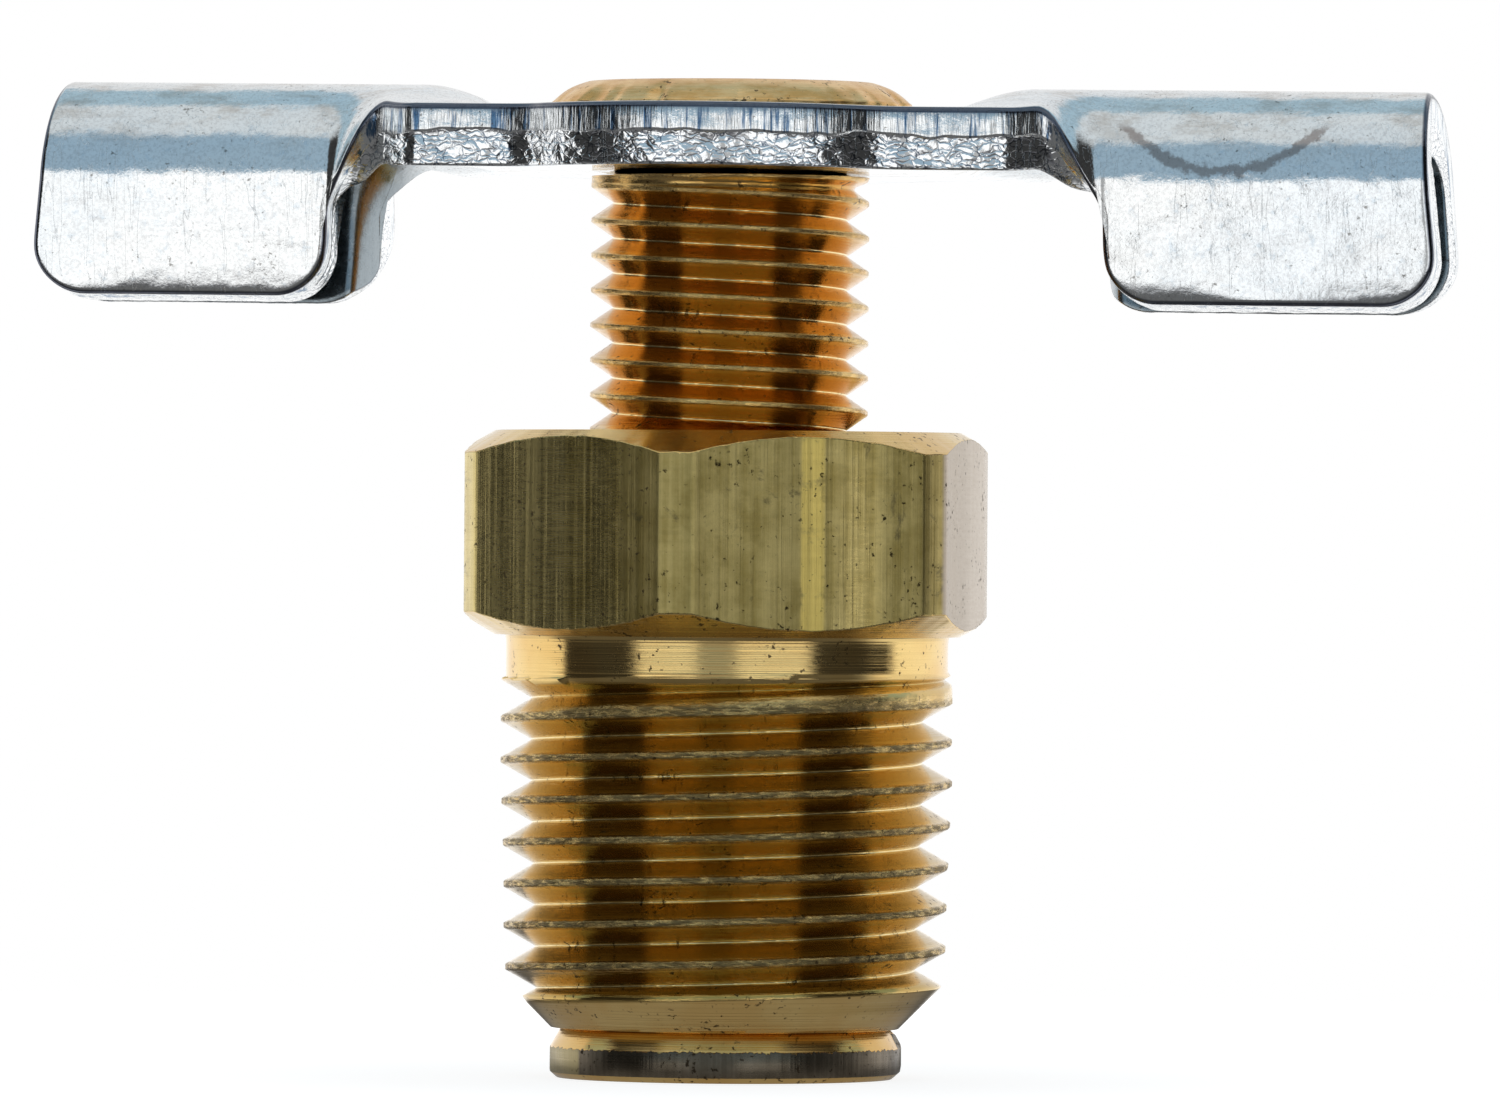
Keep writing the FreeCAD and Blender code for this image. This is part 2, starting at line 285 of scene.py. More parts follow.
def add(tree, kind, inputs=None, **settings):
    """Adds a shader node. settings are its properties, and inputs its sockets' values or incoming links."""
    new = tree.nodes.new(kind)
    for key, value in settings.items():
        setattr(new, key, value)
    for key, value in (inputs or {}).items():
        if isinstance(value, bpy.types.NodeSocket):
            tree.links.new(value, new.inputs[key])
        else:
            new.inputs[key].default_value = value
    return new


def maths(tree, operation, *values):
    """Result of a Math node on one or two values or sockets."""
    return add(tree, "ShaderNodeMath", dict(enumerate(values)), operation=operation).outputs[0]


def times(tree, first, second):
    """Product of two values or sockets."""
    return maths(tree, "MULTIPLY", first, second)


def plus(tree, first, second):
    """Sum of two values or sockets."""
    return maths(tree, "ADD", first, second)


def minus(tree, first, second):
    """First value or socket less the second."""
    return maths(tree, "SUBTRACT", first, second)


def remap(tree, value, low, high, bottom=0.0, top=1.0):
    """Value carried from low..high to bottom..top with soft ends and no overshoot."""
    inputs = {"Value": value, "From Min": low, "From Max": high, "To Min": bottom, "To Max": top}
    return add(tree, "ShaderNodeMapRange", inputs, interpolation_type="SMOOTHSTEP").outputs["Result"]


def mix_colour(tree, share, first, second, blend_type="MIX"):
    """Colour between first and second."""
    inputs = {0: share, 6: first, 7: second}
    return add(tree, "ShaderNodeMix", inputs, data_type="RGBA", blend_type=blend_type).outputs[2]


def noise(tree, vector, scale, detail=3.0, roughness=0.55, distortion=0.0):
    """Value of a noise texture in 0..1."""
    inputs = {"Vector": vector, "Scale": scale, "Detail": detail, "Roughness": roughness,
              "Distortion": distortion}
    return add(tree, "ShaderNodeTexNoise", inputs).outputs["Fac"]


def scaled(tree, vector, x, y, z):
    """Vector with each axis scaled, to stretch a pattern."""
    return add(tree, "ShaderNodeMapping", {"Vector": vector, "Scale": (x, y, z)}).outputs["Vector"]


def new_group(name, ins, outs):
    """Empty shader node group. ins are (name, kind, value) and outs are (name, kind)."""
    tree = bpy.data.node_groups.new(name, "ShaderNodeTree")
    for label, kind, value in ins:
        socket = tree.interface.new_socket(label, in_out="INPUT", socket_type=kind)
        if value is not None:
            socket.default_value = value
    for label, kind in outs:
        tree.interface.new_socket(label, in_out="OUTPUT", socket_type=kind)
    return tree, tree.nodes.new("NodeGroupInput").outputs, tree.nodes.new("NodeGroupOutput").inputs


def use_group(tree, group, inputs):
    """Outputs of a node group placed in a tree."""
    return add(tree, "ShaderNodeGroup", inputs, node_tree=group).outputs


# Dirt in small dark specks: islands of a fine noise, gathered in patches by a coarse one.
specks_group, gin, gout = new_group(
    "dirt_specks", [("Vector", "NodeSocketVector", None), ("Size", "NodeSocketFloat", 8.0),
                    ("Amount", "NodeSocketFloat", 0.5)], [("Mask", "NodeSocketFloat")])
fine = noise(specks_group, gin["Vector"], gin["Size"], 4.0, 0.6)
patch = noise(specks_group, gin["Vector"], 0.9, 2.0)
level = minus(specks_group, 0.80, times(specks_group, gin["Amount"], patch))
mask = times(specks_group, minus(specks_group, fine, level), 14.0)
specks_group.links.new(add(specks_group, "ShaderNodeClamp", {"Value": mask}).outputs[0], gout["Mask"])

# Scratches: thin bright or dark lines, where a noise stretched along one direction crosses its middle.
scratch_group, gin, gout = new_group(
    "scratches", [("Vector", "NodeSocketVector", None), ("Width", "NodeSocketFloat", 0.01),
                  ("Cover", "NodeSocketFloat", 0.5)], [("Mask", "NodeSocketFloat")])
wave = noise(scratch_group, gin["Vector"], 1.0, 1.0, 0.5, 0.4)
line = maths(scratch_group, "ABSOLUTE", minus(scratch_group, wave, 0.5))
thin = maths(scratch_group, "LESS_THAN", line, gin["Width"])
where = noise(scratch_group, gin["Vector"], 0.37, 2.0)
there = maths(scratch_group, "GREATER_THAN", where, minus(scratch_group, 1.0, gin["Cover"]))
scratch_group.links.new(times(scratch_group, thin, there), gout["Mask"])


def metal_start(name):
    """New node material, with the surface's own coordinates in millimetres and its shader."""
    material = bpy.data.materials.new(name)
    material.use_nodes = True
    tree = material.node_tree
    shader = tree.nodes["Principled BSDF"]
    place = add(tree, "ShaderNodeTexCoord").outputs["Object"]
    return material, tree, shader, scaled(tree, place, PER_MM, PER_MM, PER_MM)


def attribute(tree, name):
    """Value of one of the piece's own masks."""
    return add(tree, "ShaderNodeAttribute", attribute_name=name).outputs["Fac"]


def brass_material(name, bright, warm, groove_shade, skin_dark, skin_light):
    """Turned brass with painted shade down in the grooves and a painted highlight along their roots, with drawn
    bar skin where the mask skin is above zero and torn crests where crest is. Above the handle it is dulled by
    flaring.
    """
    material, tree, shader, place = metal_start(name)
    axes = add(tree, "ShaderNodeSeparateXYZ", {"Vector": place}).outputs
    reach = maths(tree, "SQRT", plus(tree, times(tree, axes["X"], axes["X"]), times(tree, axes["Y"], axes["Y"])))
    rings = add(tree, "ShaderNodeCombineXYZ", {"X": reach, "Y": axes["Z"]}).outputs["Vector"]
    turned = noise(tree, scaled(tree, rings, 14, 14, 1), 1.0, 3.0, 0.7)
    cloud = noise(tree, place, 0.55, 3.0)
    turned_colour = mix_colour(tree, remap(tree, cloud, 0.35, 0.65), bright, warm)
    groove = attribute(tree, "groove")
    # Painted shade: the colour turns darker and more orange the further down a groove a point lies.
    turned_colour = mix_colour(tree, remap(tree, groove, 0.05, 0.35), turned_colour, groove_shade)
    # Painted highlight: a bright pale gold line along the very root of each groove.
    turned_colour = mix_colour(tree, remap(tree, groove, 0.965, 1.0), turned_colour, (1.0, 0.82, 0.44, 1))
    flared = remap(tree, axes["Z"], 21.9, 22.1)
    smear = noise(tree, scaled(tree, place, 0.8, 0.8, 3.0), 1.0, 5.0, 0.7)
    flare_colour = mix_colour(tree, remap(tree, smear, 0.35, 0.65), (0.80, 0.45, 0.15, 1),
                              (1.0, 0.68, 0.32, 1))
    turned_colour = mix_colour(tree, flared, turned_colour, flare_colour)
    specks = use_group(tree, specks_group, {"Vector": place, "Size": 7.0, "Amount": 0.34})["Mask"]

    streak_place = scaled(tree, place, 5, 5, 0.06)
    streaks = noise(tree, streak_place, 1.0, 4.0, 0.65)
    broad = noise(tree, scaled(tree, place, 0.5, 0.5, 0.03), 1.0, 1.5, 0.5)
    blotches = noise(tree, place, 1.3, 5.0, 0.62)
    skin_share = plus(tree, times(tree, streaks, 0.5), times(tree, blotches, 0.5))
    skin_colour = mix_colour(tree, remap(tree, skin_share, 0.34, 0.66), skin_dark, skin_light)
    smudge = remap(tree, noise(tree, place, 0.8, 6.0, 0.7, 0.5), 0.34, 0.42, 0.55, 0.0)
    skin_colour = mix_colour(tree, smudge, skin_colour, (0.09, 0.08, 0.05, 1))

    # The flat at the right end is pale, those on the left are yellower, and a strip in front is golden.
    skin_colour = mix_colour(tree, remap(tree, axes["X"], 5.45, 5.54), skin_colour, (0.55, 0.47, 0.38, 1))
    left_side = remap(tree, axes["X"], -2.85, -2.75, 0.35, 0.0)
    skin_colour = mix_colour(tree, left_side, skin_colour, (0.85, 0.70, 0.32, 1))
    rubbed = times(tree, remap(tree, axes["X"], STRIP_LEFT - 0.05, STRIP_LEFT + 0.05),
                   remap(tree, axes["X"], STRIP_RIGHT - 0.06, STRIP_RIGHT + 0.06, 1.0, 0.0))
    rubbed = times(tree, rubbed, remap(tree, axes["Y"], -4.1, -4.0, 1.0, 0.0))
    rubbed = times(tree, rubbed, remap(tree, blotches, 0.35, 0.50))
    rubbed = times(tree, rubbed, remap(tree, streaks, 0.30, 0.52, 0.35, 1.0))
    skin_colour = mix_colour(tree, rubbed, skin_colour, (1.0, 0.76, 0.22, 1))
    ragged_by = minus(tree, noise(tree, place, 9.0, 3.0), 0.5)
    edge = plus(tree, attribute(tree, "skin"), times(tree, ragged_by, 0.16))
    skin = remap(tree, edge, -0.004, 0.006)
    colour = mix_colour(tree, skin, turned_colour, skin_colour)

    torn_noise = noise(tree, scaled(tree, place, 2.5, 2.5, 14.0), 1.0, 4.0, 0.7)
    torn = times(tree, attribute(tree, "crest"), remap(tree, torn_noise, 0.34, 0.58))
    colour = mix_colour(tree, times(tree, torn, 0.85), colour, (0.16, 0.12, 0.06, 1))
    colour = mix_colour(tree, times(tree, specks, 0.85), colour, (0.05, 0.03, 0.015, 1))
    tree.links.new(colour, shader.inputs["Base Color"])
    shader.inputs["Metallic"].default_value = 1.0
    rough_turned = remap(tree, turned, 0.3, 0.7, 0.06, 0.13)
    rough_turned = plus(tree, rough_turned, times(tree, flared, 0.20))
    rough = plus(tree, rough_turned, times(tree, skin, remap(tree, broad, 0.40, 0.60, 0.16, 0.32)))
    rough = plus(tree, rough, times(tree, maths(tree, "MAXIMUM", torn, specks), 0.3))
    tree.links.new(rough, shader.inputs["Roughness"])

    relief_turned = times(tree, turned, minus(tree, 1.0, skin))
    waves = plus(tree, times(tree, streaks, 1.0), times(tree, broad, 7.0))
    relief_skin = times(tree, waves, skin)
    relief_torn = times(tree, times(tree, torn_noise, attribute(tree, "crest")), 4.0)
    relief = plus(tree, plus(tree, relief_turned, relief_skin), relief_torn)
    bump = add(tree, "ShaderNodeBump", {"Height": relief, "Strength": 1.0, "Distance": RELIEF})
    tree.links.new(bump.outputs["Normal"], shader.inputs["Normal"])
    return material


body.data.materials.append(brass_material(
    "body_brass", bright=(0.86, 0.62, 0.25, 1), warm=(0.80, 0.53, 0.19, 1), groove_shade=(0.62, 0.41, 0.12, 1),
    skin_dark=(0.38, 0.29, 0.09, 1), skin_light=(0.64, 0.51, 0.20, 1)))

# Stem. Brass, turned from round bar: the valve head with a band of dark bar skin, the neck with its
# cross hole, the left-hand thread, and a hollow top end that is flared over the handle and has cracked
# along its rim.
HEAD_RADIUS = 3.97
HEAD_EDGE = 0.14
CONE_BASE = 0.70
NECK_RADIUS = 2.60
STEM_RADIUS = 3.175
STEM_PITCH = 25.4 / 32
STEM_DEPTH = 0.49
STEM_CREST = 0.09
STEM_START = 7.61
STEM_THREAD_LOW = 11.6
SPIGOT_RADIUS = 2.65
FLARE_RADIUS = 4.13
FLARE_TOP_RADIUS = 3.25
FLARE_RISE = 0.60
LIP_RISE = 0.155
BORE_RADIUS = 1.50
BORE_FLOOR = 3.40
DRILL_POINT = 0.90
INLET_RADIUS = 1.20
INLET_HEIGHT = 4.80
CHIP_BEARING = 10
CHIP_WIDTH = 4
FLARE_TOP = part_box("stem")[1][2] / MM
FLARE_BOTTOM = FLARE_TOP - FLARE_RISE
SHEET = 1.43
SHOULDER = FLARE_BOTTOM - SHEET - 0.10

stem_angles = np.linspace(0, TURN, 289)
stem_blocks = []
cone_top = CONE_BASE + (HEAD_RADIUS - NECK_RADIUS) / CHAMFER_SLOPE
add_ring_rows(stem_blocks, [0, 1.5, 3.0, HEAD_RADIUS - HEAD_EDGE - 0.02, HEAD_RADIUS - HEAD_EDGE + 0.02,
                            HEAD_RADIUS - 0.01, HEAD_RADIUS, HEAD_RADIUS, HEAD_RADIUS, HEAD_RADIUS - 0.01],
              [0, 0, 0, 0, 0.03, HEAD_EDGE - 0.01, HEAD_EDGE + 0.03, 0.3, CONE_BASE - 0.02, CONE_BASE + 0.01],
              stem_angles)
climb = np.linspace(0.04, 0.97, 12)
add_ring_rows(stem_blocks, HEAD_RADIUS + (NECK_RADIUS - HEAD_RADIUS) * climb,
              CONE_BASE + (cone_top - CONE_BASE) * climb, stem_angles)
root_radius = STEM_RADIUS - STEM_DEPTH
neck_z = np.array([cone_top + 0.05, cone_top + 0.4, 4.0, 5.6, 7.5, 9.5, STEM_THREAD_LOW - 0.4])
add_ring_rows(stem_blocks, NECK_RADIUS, neck_z, stem_angles)

offsets = groove_offsets(STEM_PITCH, STEM_CREST, STEM_THREAD_LOW, STEM_START)
stem_z, stem_shift = helix_rows(STEM_THREAD_LOW, SHOULDER - 0.02, STEM_PITCH, offsets, -1, stem_angles)
turn_angle = np.broadcast_to(stem_angles, stem_z.shape)
stem_cut = groove_depth(turn_angle, stem_z, STEM_PITCH, STEM_CREST, STEM_DEPTH, STEM_START, -1)[0]
px, py = STEM_RADIUS * np.cos(turn_angle), STEM_RADIUS * np.sin(turn_angle)
nicks = grain(px, py, stem_z, 0.14, 5) + 0.7 * grain(px, py, stem_z, 0.6, 6)
on_crest = np.clip(1 - stem_cut / 0.10, 0, 1)
stem_cut = np.clip(stem_cut + 0.006 * nicks * on_crest, 0, None)
stem_cut = stem_cut * smooth_step(SHOULDER - 0.06, SHOULDER - 0.36, stem_z)
stem_outer = STEM_RADIUS - 0.008 + 0.006 * nicks * on_crest
stem_r = soft_least(stem_outer, stem_outer - stem_cut, 0.02)
lead_in = NECK_RADIUS + np.clip(stem_z - STEM_THREAD_LOW, 0, None) * 1.2
stem_r = soft_least(stem_r, lead_in, 0.02)
stem_blocks.append((stem_r, stem_z, stem_shift))

# The flared end: a rolled lip with a cracked, uneven rim, a sloping face and the mouth of the bore.
lip_x, lip_y = FLARE_RADIUS * np.cos(stem_angles), FLARE_RADIUS * np.sin(stem_angles)
still = 0 * stem_angles
wander = grain(lip_x, lip_y, still, 1.1, 21) * 0.05 + grain(lip_x, lip_y, still, 0.35, 22) * 0.03
crack = np.clip(grain(lip_x, lip_y, still, 0.5, 23) - 0.25, 0, None) * 0.25
rim = FLARE_RADIUS - 0.01 + wander - crack
lip = [(SPIGOT_RADIUS + still, SHOULDER + still), (SPIGOT_RADIUS + still, FLARE_BOTTOM - 0.02 + still),
       (SPIGOT_RADIUS + 0.1 + still, FLARE_BOTTOM + still), (rim - 0.06, FLARE_BOTTOM + 0.004 + still),
       (rim - 0.015, FLARE_BOTTOM + 0.03 + wander * 0.2), (rim, FLARE_BOTTOM + 0.07 + wander * 0.3),
       (rim - 0.02, FLARE_BOTTOM + 0.12 + wander * 0.3), (rim - 0.07, FLARE_BOTTOM + LIP_RISE + wander * 0.3)]
for part in np.linspace(0.06, 1, 8):
    slope_r = (rim - 0.07) * (1 - part) + FLARE_TOP_RADIUS * part
    bulge = 0.05 * math.sin(math.pi * part)
    slope_z = FLARE_BOTTOM + LIP_RISE + (FLARE_RISE - LIP_RISE) * part + bulge + wander * 0.3 * (1 - part)
    lip.append((slope_r + bulge, slope_z))
lip_r, lip_z = (np.array(rows) for rows in zip(*lip))
stem_blocks.append((lip_r, lip_z, np.zeros(len(lip), int)))
add_ring_rows(stem_blocks, [FLARE_TOP_RADIUS - 0.12, 2.6, 2.1, 1.90, 1.70, BORE_RADIUS + 0.03, BORE_RADIUS,
                            BORE_RADIUS, BORE_RADIUS, BORE_RADIUS, BORE_RADIUS * 0.5, 0],
              [FLARE_TOP, FLARE_TOP - 0.01, FLARE_TOP - 0.05, FLARE_TOP - 0.14, FLARE_TOP - 0.30,
               FLARE_TOP - 0.60, FLARE_TOP - 0.75, 15.0, 6.5, BORE_FLOOR, BORE_FLOOR - DRILL_POINT / 2,
               BORE_FLOOR - DRILL_POINT], stem_angles)
stem_rows_r = np.concatenate([block[0] for block in stem_blocks])
stem_rows_z = np.concatenate([block[1] for block in stem_blocks])
stem_shifts = np.concatenate([block[2] for block in stem_blocks])
thread_start = sum(len(block[0]) for block in stem_blocks[:3])
stem_crest = np.zeros(stem_rows_r.shape)
stem_crest[thread_start:thread_start + len(stem_r)] = smooth_step(0.07, 0.0, stem_cut)
stem_groove = np.zeros(stem_rows_r.shape)
stem_groove[thread_start:thread_start + len(stem_r)] = np.clip(stem_cut / STEM_DEPTH, 0, 1)
band = np.minimum(stem_rows_z - HEAD_EDGE * 0.4, CONE_BASE - stem_rows_z)
stem_skin = np.where((stem_rows_r > HEAD_RADIUS - 0.12) & (stem_rows_z < 1), band, -1.0)

# A burr left on the valve head's upper edge, raised in a narrow bell round one bearing.
chip = np.exp(-((np.degrees(stem_angles) - CHIP_BEARING) / CHIP_WIDTH) ** 2)
chip = chip * smooth_step(1.08, 0.94, stem_rows_z)
chip = chip * (stem_rows_z > HEAD_EDGE) * np.clip(HEAD_RADIUS + 0.05 - stem_rows_r, 0, 0.5)
chip_grain = grain(stem_rows_z, 0 * chip + stem_angles, 0 * chip, 0.12, 25)
stem_rows_r = stem_rows_r + chip * (0.9 + 0.5 * chip_grain)
stem_skin = np.maximum(stem_skin, np.where(chip > 0.02, 0.2, -1.0))
stem = turned_mesh("stem_finish", stem_angles, stem_rows_r, stem_rows_z, stem_shifts, False,
                   {"skin": stem_skin, "crest": 0.5 * stem_crest, "groove": stem_groove})

# The cross hole in the neck, through which the coolant reaches the bore.
drill_angles = np.linspace(0, TURN, 49)
drill_r = np.array([0, INLET_RADIUS, INLET_RADIUS, 0])[:, None] + 0 * drill_angles
drill_z = np.array([-NECK_RADIUS, -NECK_RADIUS, NECK_RADIUS, NECK_RADIUS])[:, None] * 1.5 + 0 * drill_angles
drill = turned_mesh("drill", drill_angles, drill_r, drill_z, np.zeros(4, int), False, {})
drill.rotation_euler = (math.pi / 2, 0, 0)
drill.location = (0, 0, INLET_HEIGHT * MM)
bpy.context.view_layer.update()
cut = stem.modifiers.new("inlet", "BOOLEAN")
cut.operation = "DIFFERENCE"
cut.solver = "EXACT"
cut.object = drill
drilled = bpy.data.meshes.new_from_object(stem.evaluated_get(bpy.context.evaluated_depsgraph_get()))
stem.modifiers.clear()
stem.data = drilled
bpy.data.objects.remove(drill)
stem.data.materials.clear()
stem.data.materials.append(brass_material(
    "stem_brass", bright=(0.88, 0.60, 0.23, 1), warm=(0.82, 0.50, 0.16, 1), groove_shade=(0.68, 0.36, 0.08, 1),
    skin_dark=(0.12, 0.095, 0.065, 1), skin_light=(0.22, 0.18, 0.13, 1)))
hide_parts("stem")
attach(stem, "stem")

# Handle. Steel sheet, cut out with a round hub between two necks and two wings, whose sides are folded
# down into upside-down channels, then zinc plated. The cut edge is smooth above, where it was sheared,
# and torn below.
HUB_RADIUS = 5.30
NECK_HALF = 3.30
HUB_HOLE = 2.70
WING_DEPTH = 4.30
WING_LEAN = math.radians(4)
WING_RISE = 0.55
WING_BOTTOM_DROP = 4.60
WING_END = 16.08
WING_SLANT = 0.20
TIP_CURVE = 0.31
FRONT_NOTCH = 8.92
BACK_NOTCH = 8.40
WING_CORNER = 1.20
NOTCH_CORNER = 0.75
NECK_FILLET = 1.6
NECK_BORDER = 5.3
RISE_START = 5.25
RISE_END = 7.10
BEND_START = 7.45
BEND_END = 8.98
TAPER_START = 6.60
NOTCH_TOP = 2.35
EDGE_SLANT = 0.24
PANEL_SAG = 0.07
OFF_CENTRE = 0.34
HANDLE_TILT = math.radians(1.0)
HANDLE_ROLL = math.radians(0.35)
EDGE_ROLL = 0.15
ARC_X = 11.65
ARC_ACROSS = 1.75
ARC_RADIUS = 3.85
PLATE_TOP = FLARE_BOTTOM - 0.05
MIDDLE_RADIUS = (WING_DEPTH - SHEET) / 2
BEND_ANGLE = math.pi / 2 + WING_LEAN
BEND_LENGTH = MIDDLE_RADIUS * BEND_ANGLE
WING_CREST = PLATE_TOP + WING_RISE
PANEL_FALL = WING_CREST - WING_DEPTH / 2 * (1 + math.sin(WING_LEAN)) - PLATE_TOP + WING_BOTTOM_DROP
PANEL = PANEL_FALL / math.cos(WING_LEAN)
WING_HALF = BEND_LENGTH + PANEL


def corner_arc(start, corner, end, radius, count):
    """Points of an arc of the radius that rounds the corner between two straight lines."""
    into = (corner - start) / np.linalg.norm(corner - start)
    out = (end - corner) / np.linalg.norm(end - corner)
    turn = math.acos(np.clip(into @ out, -1, 1))
    run = radius * math.tan(turn / 2)
    side = np.sign(into[0] * out[1] - into[1] * out[0])
    centre = corner - into * run + side * radius * np.array([-into[1], into[0]])
    spread = np.linspace(0, turn, count) * side
    spoke = corner - into * run - centre
    return centre + np.stack([spoke[0] * np.cos(spread) - spoke[1] * np.sin(spread),
                              spoke[0] * np.sin(spread) + spoke[1] * np.cos(spread)], -1)


def evenly(points, count):
    """The same path with count points, evenly spaced along it."""
    run = np.concatenate([[0], np.cumsum(np.linalg.norm(np.diff(points, axis=0), axis=1))])
    wanted = np.linspace(0, run[-1], count)
    return np.stack([np.interp(wanted, run, points[:, axis]) for axis in range(2)], -1)


def wing_side(notch, end, count):
    """One side of a wing's blank: along the narrowing neck to the notch, then round to the tip's middle."""
    neck = np.array([NECK_BORDER, NECK_HALF])
    taper = np.linspace(TAPER_START, notch - 1.2 * NOTCH_CORNER, 16)
    fall = smooth_step(taper[0], taper[-1], taper)
    narrow = np.stack([taper, NECK_HALF - (NECK_HALF - NOTCH_TOP) * fall], -1)
    inner = np.array([notch, NOTCH_TOP])
    low_inner = np.array([notch + 0.06, WING_HALF])
    low_outer = np.array([end + WING_SLANT, WING_HALF])
    tip = np.array([end - TIP_CURVE, 0.0])
    path = [neck[None, :], narrow, corner_arc(narrow[-1], inner, low_inner, NOTCH_CORNER, 14),
            corner_arc(inner, low_inner, low_outer, WING_CORNER, 20),
            corner_arc(low_inner, low_outer, tip, WING_CORNER, 20), tip[None, :]]
    return evenly(np.concatenate(path), count)


def hub_side(count):
    """One side of the hub's blank from neck to neck: a fillet, the round hub and a fillet."""
    centre = np.array([math.sqrt((HUB_RADIUS + NECK_FILLET) ** 2 - (NECK_HALF + NECK_FILLET) ** 2),
                       NECK_HALF + NECK_FILLET])
    meet = math.atan2(centre[1], centre[0])
    around = np.linspace(1.5 * math.pi, math.pi + meet, 20)
    fillet = centre + NECK_FILLET * np.stack([np.cos(around), np.sin(around)], -1)
    sweep = np.linspace(meet, math.pi / 2, 60)
    hub = HUB_RADIUS * np.stack([np.cos(sweep), np.sin(sweep)], -1)
    half = np.concatenate([[[NECK_BORDER, NECK_HALF]], fillet, hub[1:]])
    return evenly(np.concatenate([half, half[-2::-1] * [-1, 1]]), count)


def outward(path, first, last):
    """Unit normals to the left of a path, with the two end ones given."""
    along = np.gradient(path, axis=0)
    along /= np.linalg.norm(along, axis=1)[:, None]
    normals = np.stack([-along[:, 1], along[:, 0]], -1)
    normals[0] = first
    normals[-1] = last
    return normals


def grid_triangles(index):
    """Triangles of a grid of point numbers, facing up when rows run along x and columns along y."""
    return split_quads(index[:-1, :-1], index[1:, :-1], index[1:, 1:], index[:-1, 1:])


def bent(points):
    """Blank points (x along the wings, v across, h through the sheet) carried onto the stamped shape.

    Past the hub the middle of the neck rises, and then the sheet curls down on both sides with its
    length kept: an arc of BEND_LENGTH each side, whose angle grows from nothing to BEND_ANGLE, then a
    flat panel.
    """
    x, v, h = points.T
    reach = np.abs(x)
    width = np.abs(v)
    curl = smooth_step(BEND_START, BEND_END, reach)
    angle = BEND_ANGLE * np.maximum(curl, 0.0002)
    radius = BEND_LENGTH / angle
    share = np.clip((reach - RISE_START) / (RISE_END - RISE_START), 0, 1)
    ridge = np.cos(np.clip(width / NECK_HALF, 0, 1) * math.pi / 2) ** 2
    rise = np.sin(share * math.pi / 2) * smooth_step(0, 0.35, share) * (ridge + (1 - ridge) * curl)
    wave = 0.6 + 1.3 * grain(x, np.sign(v), 0 * x, 2.6, 41)
    sag = np.clip(width - WING_HALF + 1.0, 0, None) ** 2 * wave
    h = h - PANEL_SAG * sag * curl
    middle = PLATE_TOP - SHEET / 2 + WING_RISE * rise - radius
    along = np.clip(width - BEND_LENGTH, 0, None)
    turn = np.minimum(width / radius, angle)
    y = np.sign(v) * ((radius + h) * np.sin(turn) + along * np.cos(turn))
    z = middle + (radius + h) * np.cos(turn) - along * np.sin(turn)
    return np.stack([x, y, z], -1)


def edge_slant(path):
    """How much further in the upper face ends, from nothing on the hub to EDGE_SLANT low on the wings."""
    return EDGE_SLANT * smooth_step(3.6, 5.5, np.abs(path[:, 1])) * smooth_step(7.0, 8.8, np.abs(path[:, 0]))


def inset_path(side, inset):
    """A path of the outline moved inwards. The upper face is set in further along the panels' lower edges."""
    path, normals = side
    slant = edge_slant(path) if inset > 0.1 else 0 * path[:, 1]
    return path - (inset + slant)[:, None] * normals


# The blank's outline as one loop, anticlockwise from above: each stretch is a path and its outward normals.
STATIONS = 150
ACROSS = 40
HUB_POINTS = 150
UP, RIGHT = np.array([0, 1.0]), np.array([1.0, 0])
sides = {}
for hand, flip_x in (("right", 1), ("left", -1)):
    for face, notch, flip_y in (("back", BACK_NOTCH, 1), ("front", FRONT_NOTCH, -1)):
        quarter = wing_side(notch, WING_END + flip_x * OFF_CENTRE, STATIONS)
        flip = np.array([flip_x, flip_y])
        sides[hand + "_" + face] = (quarter * flip, outward(quarter, UP, RIGHT) * flip)
hub_back = hub_side(HUB_POINTS)
hub_normals = outward(hub_back[::-1], UP, UP)[::-1]
hub_arcs = {"back": (hub_back, hub_normals), "front": (hub_back * [1, -1], hub_normals * [1, -1])}
stretches = [(sides["right_front"], 1), (sides["right_back"], -1), (hub_arcs["back"], 1),
             (sides["left_back"], 1), (sides["left_front"], -1), (hub_arcs["front"], -1)]
loop = np.concatenate([path[::step][:-1] for (path, normals), step in stretches])
loop_normals = np.concatenate([normals[::step][:-1] for (path, normals), step in stretches])

handle_points, handle_triangles = [], []


def keep(points, triangles):
    """Adds points and the triangles on them to the handle."""
    base = sum(len(part) for part in handle_points)
    handle_points.append(points)
    handle_triangles.append(triangles + base)


def numbered(rows, columns):
    """Grid of point numbers, counted row by row."""
    return np.arange(rows * columns).reshape(rows, columns)


def at_height(flat, height):
    """Points of the blank from flat ones, all at one height through the sheet."""
    flat = flat.reshape(-1, 2)
    return np.concatenate([flat, np.full((len(flat), 1), height)], -1)


